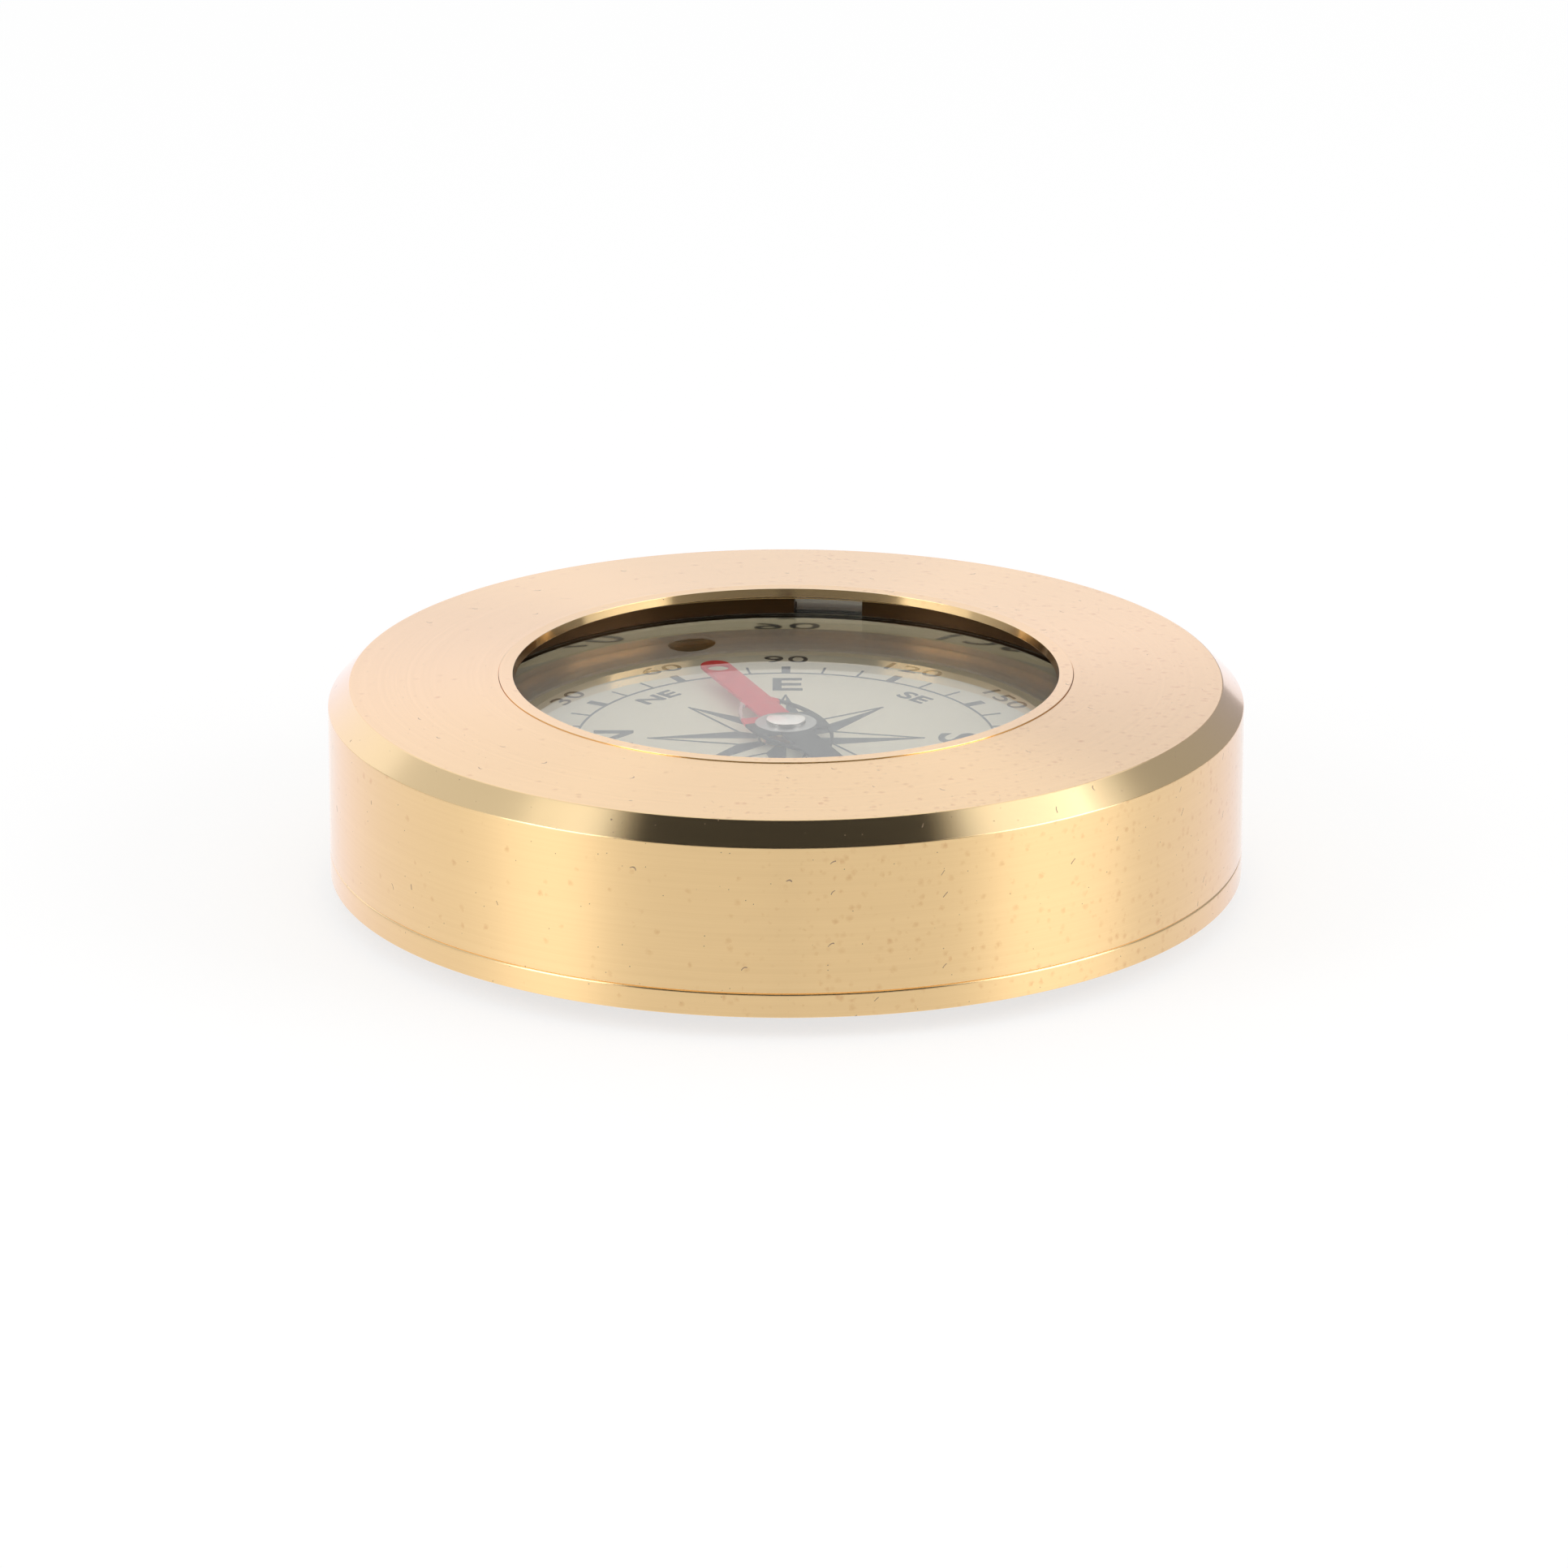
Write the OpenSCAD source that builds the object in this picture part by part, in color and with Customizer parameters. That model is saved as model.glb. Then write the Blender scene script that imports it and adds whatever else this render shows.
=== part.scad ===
// Pocket compass: a turned brass case round a sealed compass capsule with a free needle.
// Lengths are in millimetres. The origin is the middle of the face that it stands on and +Z is up.
// The dial's N lies towards -X and its E towards +Y.

/* [Case] */
// Diameter of the case
body_d = 57; // [54:0.5:80]
// Height of the brass, from the underside of the base to the lip round the window
metal_h = 12.6; // [11.8:0.1:18]
// How far the top face falls from the lip to its outer edge
top_fall = 0.47; // [0.2:0.01:0.7]
// Size of the chamfer round the top
edge_chamfer = 1.33; // [0.6:0.01:2]
// Small break on the turned edges
edge_break = 0.07; // [0.03:0.01:0.1]
// Thickness of the top wall beside the window
top_wall = 0.55; // [0.5:0.01:1.2]
// Thickness of the side wall beside the capsule
case_wall = 6.9; // [5.5:0.1:9]
// Thickness of the side wall beside the base's thread
thread_wall = 4.46; // [3.5:0.01:5.5]

/* [Window bezel] */
// Width of the bezel, from its mouth to its outer edge
bezel_w = 4.5; // [3.6:0.1:7]
// Width of the raised lip round the window
lip_w = 0.87; // [0.5:0.01:1.2]
// How far the lip stands above the top face
lip_rise = 0.06; // [0.03:0.01:0.15]
// Height of the mouth's wall, from the lip down
mouth_h = 0.5; // [0.3:0.01:0.7]
// How much the mouth narrows on its way down
mouth_taper = 0.14; // [0.05:0.01:0.3]
// Thickness of the flange that the case holds down
bezel_flange = 0.83; // [0.5:0.01:1.1]
// Thickness of the flange where it is hollowed out behind the mouth
bezel_web = 0.28; // [0.2:0.01:0.5]
// Width of the flange's outer part, which keeps its full thickness
bezel_rim_w = 2.1; // [1.5:0.05:2.5]
// Radial clearance between the lip and the case
lip_gap = 0.03; // [0.02:0.01:0.08]

/* [Base] */
// Thickness of the base's rim, up to the seam
base_h = 1.56; // [1:0.01:2.2]
// Chamfer on the base's rim at the seam
seam_chamfer = 0.13; // [0.05:0.01:0.25]
// Height of the threaded spigot above the seam, plain here at the thread's pitch line
spigot_h = 1.5; // [1:0.05:2]
// Radial clearance of the spigot in the case
thread_gap = 0.04; // [0.02:0.01:0.1]
// Clearance above the spigot
spigot_room = 0.14; // [0.05:0.01:0.3]
// How far the anti-slip pad lies inside the base's edge
pad_inset = 5.5; // [2:0.1:9]
// Thickness of the anti-slip pad
pad_h = 1.25; // [0.8:0.05:3]
// Thickness of the pad's adhesive film
tape_h = 0.15; // [0.05:0.01:0.3]

/* [Capsule] */
// Radial clearance of the capsule's cup in the case
cup_gap = 0.1; // [0.05:0.01:0.2]
// Thickness of the cup's wall beside the glass
cup_wall = 1.1; // [0.9:0.05:1.3]
// Thickness of the cup's floor
cup_floor = 0.8; // [0.7:0.05:1.2]
// Thickness of the foam cushion under the cup, as compressed
cushion_h = 0.54; // [0.3:0.01:1]
// Width of the step that the glass is sealed on
seat_w = 0.5; // [0.3:0.05:0.7]
// Thickness of the polished liner's wall
liner_wall = 0.45; // [0.3:0.01:0.6]
// Radial clearance of what drops into the cup
drop_in_gap = 0.05; // [0.03:0.01:0.1]

/* [Glass] */
// Thickness of the glass
glass_t = 1; // [0.7:0.05:1.3]
// Depth of the glass below the cup's rim
glass_depth = 1; // [0.8:0.05:1.4]
// Radial clearance of the glass in the cup
glass_gap = 0.1; // [0.05:0.01:0.2]
// Edge bevel of the glass
glass_bevel = 0.12; // [0.05:0.01:0.2]
// Thickness of the seal under the glass
seal_h = 0.16; // [0.1:0.01:0.3]
// Thickness of the snap ring over the glass
snap_t = 0.45; // [0.3:0.01:0.6]
// Width of the snap ring
snap_w = 1.3; // [1:0.05:1.5]
// How far the snap ring's groove is cut into the cup
groove_depth = 0.45; // [0.3:0.01:0.6]
// Clearance of the snap ring in its groove
groove_gap = 0.05; // [0.02:0.01:0.08]
// Thickness of the band that stands on the snap ring, up to the bezel
snap_band_t = 0.6; // [0.3:0.05:0.7]
// Bearing of the snap ring's opening, clockwise from the dial's E
snap_turn = 8; // [0:1:359]
// Width of the opening in the snap ring
snap_opening = 4.4; // [2:0.1:8]

/* [Dial] */
// Depth of the dial card below the glass
dial_depth = 1.69; // [1.6:0.01:2.4]
// Thickness of the dial card
card_t = 0.5; // [0.3:0.05:0.8]
// Width of the seat's rim outside the card
seat_rim_w = 1.3; // [1:0.05:1.6]
// Radial clearance of the card in its seat
card_gap = 0.05; // [0.03:0.01:0.1]
// Width of the ledge under the card's edge
ledge_w = 1.5; // [1:0.05:3]
// How far the ring that holds the card down shows inside the liner
ring_show = 1.75; // [1.7:0.05:2.6]
// Thickness of that ring, which is pressed from sheet
ring_t = 0.15; // [0.1:0.01:0.25]
// Height of that ring under the liner, to which it slopes up
ring_h = 0.9; // [0.3:0.01:1.1]
// Length of the ring's oval locating holes
notch_l = 3.2; // [2:0.1:4]
// Width of a locating hole
notch_w = 1.35; // [0.6:0.05:1.45]
// Gap between a locating hole and the liner
notch_gap = 0.2; // [0.05:0.01:0.2]
// Number of locating holes
notches = 3; // [2:1:4]
// Bearing of the first locating hole on the dial, in degrees
notch_bearing = 71; // [0:1:359]

/* [Dial print] */
// Distance from that ring to the scale's circle, which leaves room for the numbers
number_room = 4.6; // [3.8:0.05:5]
// Length of the scale's strokes
stroke_l = 1.3; // [0.8:0.05:1.8]
// Width of a fine stroke
stroke_w = 0.14; // [0.08:0.01:0.25]
// Width of a stroke at a number
main_stroke_w = 0.55; // [0.3:0.01:0.7]
// Degrees between strokes
stroke_step = 10; // [5, 10, 15]
// Degrees between numbers
number_step = 30; // [30, 45]
// Reach of the rose's points, as a share of the scale's circle
point_share = 0.663; // [0.5:0.001:0.7]
// Distance of the hollows between the points from the middle, as a share of the scale's circle
hollow_share = 0.249; // [0.2:0.001:0.3]
// Number of points on the rose
rose_points = 8; // [4, 8, 16]
// Thickness of the ink
ink_t = 0.03; // [0.02:0.005:0.05]

/* [Pivot] */
// Diameter of the pivot's foot
foot_d = 3.2; // [2.8:0.1:4]
// How far the foot stands above the card
foot_show = 0.3; // [0.1:0.01:0.4]
// Radial clearance of the foot in the card
foot_gap = 0.15; // [0.05:0.01:0.3]
// Diameter of the pivot pin
pin_d = 0.6; // [0.4:0.05:0.8]
// Length of the pin's point
point_l = 0.42; // [0.3:0.01:0.5]
// Diameter of the flat at the tip of the point
tip_d = 0.06; // [0.03:0.01:0.1]
// Depth of the pin in the foot, as a share of the foot's height
pin_share = 0.356; // [0.25:0.001:0.45]
// Clearance between the point and the jewel
point_gap = 0.02; // [0.01:0.01:0.04]
// Diameter of the screw that holds the foot
screw_d = 1; // [0.8:0.05:1.3]
// Diameter of that screw's head
screw_head_d = 2.2; // [2:0.05:2.6]
// Depth of the screw's cone in the floor
screw_cone = 0.5; // [0.3:0.05:0.6]
// Depth of the screw in the foot, as a share of the foot's height
screw_share = 0.326; // [0.25:0.001:0.4]
// Width of the slot in the screw's head
slot_w = 0.35; // [0.25:0.05:0.5]
// Depth of that slot
slot_depth = 0.25; // [0.1:0.05:0.3]

/* [Needle] */
// Distance from the needle's ends to the liner
needle_room = 6; // [4:0.1:8]
// Width of the needle's strip
needle_w = 1.92; // [1.6:0.02:2.4]
// Thickness of the needle
blade_t = 0.2; // [0.15:0.01:0.25]
// Height of the needle above the card
needle_lift = 0.83; // [0.75:0.01:1]
// Diameter of the holes at the needle's ends
end_hole_d = 1.4; // [0.8:0.05:1.5]
// Distance of those holes from the needle's ends
end_hole_in = 1.4; // [1.2:0.05:2]
// Width across the needle's wings
wings_w = 5; // [4.4:0.1:6]
// Length of the wings
wings_l = 10.4; // [9:0.1:12]
// Width of the arm outside a wing's window
arm_w = 0.22; // [0.15:0.01:0.35]
// Distance from the middle to a wing's window
web_l = 1.7; // [1.5:0.05:2.2]
// Length of a wing's window
wing_window_l = 2.5; // [1.5:0.05:2.8]
// Bearing that the needle points to at rest, in degrees
rest_bearing = 69; // [0:1:359]

/* [Needle cap] */
// Diameter of the cap's flange
cap_d = 3.85; // [3.6:0.05:4.6]
// Thickness of the cap's flange
cap_flange = 0.14; // [0.1:0.01:0.2]
// Diameter of the cap's crown
crown_d = 2.42; // [2.2:0.02:3]
// Height of the crown above the flange
crown_h = 0.2; // [0.15:0.01:0.3]
// Diameter of the cap's neck, which passes through the needle
neck_d = 2.1; // [1.9:0.05:2.4]
// Height of the collar that the neck is pressed into
collar_h = 0.2; // [0.1:0.01:0.25]
// Diameter of the collar
collar_d = 3.2; // [2.8:0.05:3.6]
// Diameter of the jewel
jewel_d = 1.5; // [1.3:0.05:1.6]
// Thickness of the cap over the jewel
cap_roof = 0.14; // [0.1:0.01:0.2]
// Height of the jewel
jewel_h = 0.5; // [0.45:0.01:0.6]
// Depth of the jewel's hollow
jewel_hollow = 0.38; // [0.3:0.01:0.42]
// Diameter of that hollow at its mouth
jewel_mouth_d = 1.1; // [0.9:0.05:1.2]
// Press clearance, for what is pressed in and stays
press_gap = 0.01; // [0.01:0.01:0.02]

/* [Hidden] */
$fn = 96;
overrun = 0.5;

base_z = pad_h + tape_h;
seam_z = base_z + base_h;
spigot_z = seam_z + spigot_h;
lip_z = base_z + metal_h;
top_z = lip_z - lip_rise;
flange_z = top_z - top_wall;
rim_z = flange_z - bezel_flange;
cup_z = spigot_z + cushion_h;
floor_z = cup_z + cup_floor;
glass_top_z = rim_z - glass_depth;
glass_z = glass_top_z - glass_t;
seat_z = glass_z - seal_h;
dial_z = glass_z - dial_depth;
card_z = dial_z - card_t;

body_r = body_d / 2;
pad_r = body_r - pad_inset;
case_spigot_r = body_r - thread_wall;
spigot_r = case_spigot_r - thread_gap;
case_bore_r = body_r - case_wall;
cup_r = case_bore_r - cup_gap;
window_r = cup_r - bezel_w;
lip_r = window_r + lip_w;
case_hole_r = lip_r + lip_gap;
throat_r = window_r - mouth_taper;
glass_bore_r = cup_r - cup_wall;
glass_r = glass_bore_r - glass_gap;
liner_bore_r = glass_bore_r - seat_w;
liner_r = liner_bore_r - drop_in_gap;
wall_r = liner_r - liner_wall;
groove_r = glass_bore_r + groove_depth;
snap_r = groove_r - groove_gap;
card_seat_r = liner_r - seat_rim_w;
card_r = card_seat_r - card_gap;
ledge_r = card_r - ledge_w;
card_hole_r = foot_d / 2 + foot_gap;
dial_open_r = wall_r - ring_show;
scale_r = dial_open_r - number_room;
needle_r = wall_r - needle_room;

blade_z = dial_z + needle_lift;
blade_top_z = blade_z + blade_t;
crown_z = blade_top_z + cap_flange;
cap_top_z = crown_z + crown_h;
collar_z = blade_z - collar_h;
jewel_top_z = cap_top_z - cap_roof;
jewel_z = jewel_top_z - jewel_h;
point_z = jewel_z + jewel_hollow - point_gap;
foot_top_z = dial_z + foot_show;
foot_h = foot_top_z - floor_z;
screw_depth = foot_h * screw_share;
pin_z = foot_top_z - foot_h * pin_share;
jewel_seat_r = jewel_d / 2 + press_gap;
neck_r = neck_d / 2;

// A wing's arc runs from the strip's edge, out to the wings' width and back
wing_out = wings_w / 2 - needle_w / 2;
wing_arc_r = (pow(wings_l / 2, 2) + pow(wing_out, 2)) / (2 * wing_out);

// The unit vector from one point to another
function towards(a, b) = (b - a) / norm(b - a);
// A corner of an outline, broken by size on both sides
function broken(before, corner, after, size) =
    [corner + towards(corner, before) * size, corner + towards(corner, after) * size];

// A round plate or ring with flat faces
module ring(outer_r, inner_r, low_z, high_z) {
    rotate_extrude() translate([inner_r, low_z]) square([outer_r - inner_r, high_z - low_z]);
}

// A straight stroke of ink between two points
module ink_line(from, to, w) {
    run = to - from;
    translate(from) rotate(atan2(run.y, run.x)) translate([0, -w / 2]) square([norm(run), w]);
}

// Turned case: side wall, chamfer and the top wall that holds the window's bezel down
module case_body() {
    shoulder_r = body_r - edge_chamfer;
    edge_z = top_z - top_fall;
    shoulder_z = edge_z - edge_chamfer;
    color("burlywood") rotate_extrude($fn = 180) polygon(concat(
        [[case_spigot_r, seam_z]],
        broken([case_spigot_r, seam_z], [body_r, seam_z], [body_r, shoulder_z], edge_break),
        broken([body_r, seam_z], [body_r, shoulder_z], [shoulder_r, edge_z], edge_break),
        broken([body_r, shoulder_z], [shoulder_r, edge_z], [case_hole_r, top_z], edge_break),
        [[case_hole_r, top_z], [case_hole_r, flange_z], [case_bore_r, flange_z],
         [case_bore_r, spigot_z + spigot_room], [case_spigot_r, spigot_z + spigot_room]]));
}

// Bezel of the capsule: a flange under the case's top wall and a lip that stands through the window.
// It is hollowed out behind its mouth, so the glass is seen in full.
module window_bezel() {
    mouth_z = lip_z - mouth_h;
    web_z = flange_z - bezel_web;
    hollow_r = cup_r - bezel_rim_w;
    color("burlywood") rotate_extrude($fn = 180) polygon(concat(
        broken([lip_r, flange_z], [lip_r, lip_z], [window_r, lip_z], lip_rise),
        [[window_r, lip_z], [throat_r, mouth_z], [case_hole_r, web_z], [hollow_r, web_z],
         [hollow_r, rim_z], [cup_r, rim_z], [cup_r, flange_z], [lip_r, flange_z]]));
}

// Base that screws up into the case, with its spigot
module base_plate() {
    color("goldenrod") rotate_extrude($fn = 180) polygon(concat(
        [[0, base_z]],
        broken([0, base_z], [body_r, base_z], [body_r, seam_z], edge_break),
        broken([body_r, base_z], [body_r, seam_z], [spigot_r, seam_z], seam_chamfer),
        [[spigot_r, seam_z]],
        broken([spigot_r, seam_z], [spigot_r, spigot_z], [0, spigot_z], edge_break),
        [[0, spigot_z]]));
}

// Adhesive film between the base and its pad
module pad_tape() {
    color("gainsboro") translate([0, 0, pad_h]) cylinder(h = tape_h, r = pad_r);
}

// Anti-slip pad that the compass stands on
module base_pad() {
    color("dimgray") cylinder(h = pad_h, r = pad_r);
}

// Foam disc that presses the capsule up against the bezel
module capsule_cushion() {
    color("darkgray") translate([0, 0, spigot_z]) cylinder(h = cushion_h, r = liner_r);
}

// Cup of the capsule, stepped for the glass and grooved for the snap ring
module capsule_cup() {
    groove_z = glass_top_z;
    color("silver") difference() {
        rotate_extrude() polygon([
            [0, cup_z], [cup_r, cup_z], [cup_r, rim_z], [glass_bore_r, rim_z],
            [glass_bore_r, groove_z + snap_t + groove_gap], [groove_r, groove_z + snap_t + groove_gap],
            [groove_r, groove_z], [glass_bore_r, groove_z], [glass_bore_r, seat_z],
            [liner_bore_r, seat_z], [liner_bore_r, floor_z], [0, floor_z]]);
        translate([0, 0, cup_z - overrun]) cylinder(h = cup_floor + 2 * overrun, d = screw_d + 2 * press_gap);
        screw_cone(screw_head_d + 2 * press_gap, screw_d + 2 * press_gap);
    }
}

// The cone of the screw's head, for the screw and its countersink
module screw_cone(head_d, shank_d) {
    translate([0, 0, cup_z]) cylinder(h = screw_cone, d1 = head_d, d2 = shank_d);
}

// Moulded seat that carries the dial card
module dial_seat() {
    color("#2b2b2b") rotate_extrude() polygon([
        [ledge_r, floor_z], [liner_r, floor_z], [liner_r, dial_z], [card_seat_r, dial_z],
        [card_seat_r, card_z], [ledge_r, card_z]]);
}

// Enamelled dial card
module dial_card() {
    color("ivory") ring(card_r, card_hole_r, card_z, dial_z);
}

// Degree scale in ink
module scale_print() {
    color("#3d4148") translate([0, 0, dial_z]) linear_extrude(ink_t) {
        difference() {
            circle(r = scale_r + stroke_w / 2, $fn = 180);
            circle(r = scale_r - stroke_w / 2, $fn = 180);
        }
        for (bearing = [0 : stroke_step : 360 - stroke_step]) {
            w = bearing % number_step == 0 ? main_stroke_w : stroke_w;
            rotate(90 - bearing) ink_line([0, scale_r], [0, scale_r + stroke_l], w);
        }
    }
}

// One point of the rose, half of it solid and half in outline
module rose_point() {
    half_step = 180 / rose_points;
    tip = [0, scale_r * point_share];
    side = scale_r * hollow_share * [sin(half_step), cos(half_step)];
    polygon([[0, 0], tip, side]);
    ink_line(tip, [-side.x, side.y], stroke_w);
}

// Compass rose in ink
module rose_print() {
    color("#3d4148") translate([0, 0, dial_z]) linear_extrude(ink_t) difference() {
        for (k = [0 : rose_points - 1]) rotate(90 - k * 360 / rose_points) rose_point();
        circle(r = card_hole_r);
    }
}

// Satin ring that the liner presses onto the card: a dished sheet with oval locating holes
module dial_ring() {
    color("lightgray") difference() {
        rotate_extrude() polygon([
            [dial_open_r, dial_z], [wall_r, dial_z + ring_h - ring_t],
            [liner_r, dial_z + ring_h - ring_t], [liner_r, dial_z + ring_h],
            [wall_r, dial_z + ring_h], [dial_open_r, dial_z + ring_t]]);
        for (k = [0 : notches - 1]) rotate(90 - notch_bearing - k * 360 / notches)
            translate([0, wall_r - notch_gap - notch_w / 2, dial_z - overrun])
                scale([notch_l / notch_w, 1, 1])
                    cylinder(h = ring_h + 2 * overrun, r = notch_w / 2);
    }
}

// Polished liner between the dial's ring and the glass
module wall_liner() {
    color("silver") ring(liner_r, wall_r, dial_z + ring_h, glass_z);
}

// Seal on the cup's step, under the edge of the glass
module glass_seal() {
    color("dimgray") ring(glass_r, liner_bore_r, seat_z, glass_z);
}

// Flat glass
module window_glass() {
    color("lightcyan", 0.35) rotate_extrude() polygon(concat(
        [[0, glass_z]],
        broken([0, glass_z], [glass_r, glass_z], [glass_r, glass_top_z], glass_bevel),
        broken([glass_r, glass_z], [glass_r, glass_top_z], [0, glass_top_z], glass_bevel),
        [[0, glass_top_z]]));
}

// Open spring ring that keeps the glass down
module snap_ring() {
    color("darkgray") difference() {
        union() {
            ring(snap_r, snap_r - snap_w, glass_top_z, glass_top_z + snap_t);
            ring(snap_r - snap_w + snap_band_t, snap_r - snap_w, glass_top_z, rim_z - groove_gap);
        }
        rotate([0, 0, -snap_turn]) translate([-snap_opening / 2, 0, glass_top_z - overrun])
            cube([snap_opening, snap_r + overrun, rim_z - glass_top_z + 2 * overrun]);
    }
}

// Countersunk screw up through the cup's floor into the foot
module foot_screw() {
    color("gray") difference() {
        union() {
            screw_cone(screw_head_d, screw_d);
            translate([0, 0, cup_z]) cylinder(h = cup_floor + screw_depth, d = screw_d);
        }
        translate([-screw_head_d / 2 - overrun, -slot_w / 2, cup_z - overrun])
            cube([screw_head_d + 2 * overrun, slot_w, slot_depth + overrun]);
    }
}

// Brass foot of the pivot, bored for its screw below and its pin above
module pivot_foot() {
    shoulder_h = foot_show;
    color("goldenrod") difference() {
        union() {
            translate([0, 0, floor_z]) cylinder(h = foot_h - shoulder_h, d = foot_d);
            translate([0, 0, foot_top_z - shoulder_h])
                cylinder(h = shoulder_h, d1 = foot_d, d2 = foot_d - 2 * shoulder_h);
        }
        translate([0, 0, floor_z - overrun])
            cylinder(h = screw_depth + point_gap + overrun, d = screw_d + 2 * press_gap);
        translate([0, 0, pin_z])
            cylinder(h = foot_top_z - pin_z + overrun, d = pin_d + 2 * press_gap);
    }
}

// Steel pin whose point carries the needle
module pivot_pin() {
    color("slategray") {
        translate([0, 0, pin_z]) cylinder(h = point_z - point_l - pin_z, d = pin_d);
        translate([0, 0, point_z - point_l]) cylinder(h = point_l, d1 = pin_d, d2 = tip_d);
    }
}

// One wing, out to the side of +X, between the strip's middle and an arc
module wing(radius) {
    translate([0, -wings_l / 2]) square([needle_w / 2, wings_l]);
    intersection() {
        translate([wings_w / 2 - wing_arc_r, 0]) circle(r = radius, $fn = 180);
        translate([0, -wings_l / 2]) square([wings_w / 2, wings_l]);
    }
}

// Outline of the needle along Y: a strip with round ends, and a wing on each side
module needle_outline() {
    end_y = needle_r - needle_w / 2;
    translate([-needle_w / 2, -end_y]) square([needle_w, 2 * end_y]);
    for (y = [-end_y, end_y]) translate([0, y]) circle(d = needle_w);
    for (side = [0, 1]) mirror([side, 0]) wing(wing_arc_r);
}

// The four windows in the wings
module wing_windows() {
    for (side = [0, 1]) mirror([side, 0]) for (end = [0, 1]) mirror([0, end]) intersection() {
        wing(wing_arc_r - arm_w);
        translate([needle_w / 2, web_l]) square([wings_w / 2, wing_window_l]);
    }
}

// Magnetised steel needle, red towards north and dark towards south
module needle_blade() {
    hole_y = needle_r - end_hole_in;
    color("indianred") rotate(90 - rest_bearing) translate([0, 0, blade_z]) linear_extrude(blade_t)
        difference() {
            needle_outline();
            wing_windows();
            for (y = [-hole_y, hole_y]) translate([0, y]) circle(d = end_hole_d);
            circle(r = neck_r + press_gap);
        }
}

// Stepped cap on the needle, hollow for its jewel
module needle_cap() {
    color("gainsboro") rotate_extrude() polygon([
        [jewel_seat_r, collar_z], [neck_r, collar_z], [neck_r, blade_top_z], [cap_d / 2, blade_top_z],
        [cap_d / 2, crown_z], [crown_d / 2, crown_z], [crown_d / 2, cap_top_z], [0, cap_top_z],
        [0, jewel_top_z], [jewel_seat_r, jewel_top_z]]);
}

// Collar pressed on the cap's neck under the needle
module needle_collar() {
    color("gainsboro") ring(collar_d / 2, neck_r + press_gap, collar_z, blade_z);
}

// Jewel whose hollow rests on the pin's point
module cap_jewel() {
    color("firebrick") difference() {
        translate([0, 0, jewel_z]) cylinder(h = jewel_h, d = jewel_d);
        translate([0, 0, jewel_z]) cylinder(h = jewel_hollow, d1 = jewel_mouth_d, d2 = tip_d);
    }
}

case_body();
window_bezel();
base_plate();
pad_tape();
base_pad();
capsule_cushion();
capsule_cup();
dial_seat();
dial_card();
scale_print();
rose_print();
dial_ring();
wall_liner();
glass_seal();
window_glass();
snap_ring();
foot_screw();
pivot_foot();
pivot_pin();
needle_blade();
needle_cap();
needle_collar();
cap_jewel();
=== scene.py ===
"""Looks of the turned brass pocket compass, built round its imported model. Lengths are in metres."""

import math

import bpy
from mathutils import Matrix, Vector


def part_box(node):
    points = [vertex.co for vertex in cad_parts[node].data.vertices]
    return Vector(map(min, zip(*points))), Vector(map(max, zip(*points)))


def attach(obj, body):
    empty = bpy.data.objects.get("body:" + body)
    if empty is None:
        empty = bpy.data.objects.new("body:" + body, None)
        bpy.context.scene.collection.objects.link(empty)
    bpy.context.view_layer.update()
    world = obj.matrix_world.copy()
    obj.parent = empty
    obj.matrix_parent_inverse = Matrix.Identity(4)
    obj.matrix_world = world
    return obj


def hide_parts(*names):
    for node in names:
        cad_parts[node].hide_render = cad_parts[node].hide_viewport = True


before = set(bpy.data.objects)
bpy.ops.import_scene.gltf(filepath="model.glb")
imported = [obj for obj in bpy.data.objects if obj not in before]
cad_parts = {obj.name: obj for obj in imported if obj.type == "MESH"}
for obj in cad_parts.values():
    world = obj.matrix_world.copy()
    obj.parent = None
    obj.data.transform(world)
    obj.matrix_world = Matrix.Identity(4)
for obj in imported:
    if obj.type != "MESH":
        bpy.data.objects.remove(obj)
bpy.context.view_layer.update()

MM = 0.001
CASE = "compass_case"
NEEDLE = "needle"

# The photograph's camera, found from the turned edges of the case
PHOTO_WIDTH = 1932
SENSOR_WIDTH = 36
FOCAL_PIXELS = 12290
AXIS_PIXEL = 968.45
CAMERA_BACK = 590.17 * MM
CAMERA_HEIGHT = 205.9 * MM
CAMERA_PITCH = 0.3257

# How finely turned pieces are made, which of their corners are broken, and how they are shaded
TURN_SIDES = 256
BREAK_STEPS = 4
CORNER_ANGLE = math.radians(25)
FACET_ANGLE = math.radians(4)

# Case, bezel, base and pad
EDGE_CHAMFER = 1.33 * MM
TOP_FALL = 0.47 * MM
TOP_WALL = 0.55 * MM
THREAD_WALL = 4.46 * MM
THREAD_ROOM = 1.64 * MM
CASE_WALL = 6.9 * MM
LIP_GAP = 0.012 * MM
THREAD_GAP = 0.04 * MM
LIP_WIDTH = 0.87 * MM
MOUTH_HEIGHT = 0.5 * MM
MOUTH_TAPER = 0.14 * MM
BEZEL_WIDTH = 4.5 * MM
BEZEL_WEB = 0.28 * MM
BEZEL_RIM = 2.1 * MM
BEZEL_BREAK = 0.02 * MM
SEAM_CHAMFER = 0.13 * MM
BASE_RIM = 1.56 * MM
EDGE_BREAK = 0.05 * MM
PAD_BREAK = 0.15 * MM

# Capsule, and the cap of the needle, with its dome's circles as shares of its crown
LINER_WALL = 0.45 * MM
LINER_BREAK = 0.03 * MM
GLASS_BREAK = 0.12 * MM
CROWN_R = 1.21 * MM
CAP_NECK_SHARE = 0.868
FLANGE_EDGE = 0.03 * MM
FLANGE_RISE = 0.04 * MM
DOME_RISE = 0.08 * MM
DOME_SHARES = (1, 0.85, 0.7, 0.55, 0.4, 0.25, 0.1)
CAP_BREAK = 0.02 * MM

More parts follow.
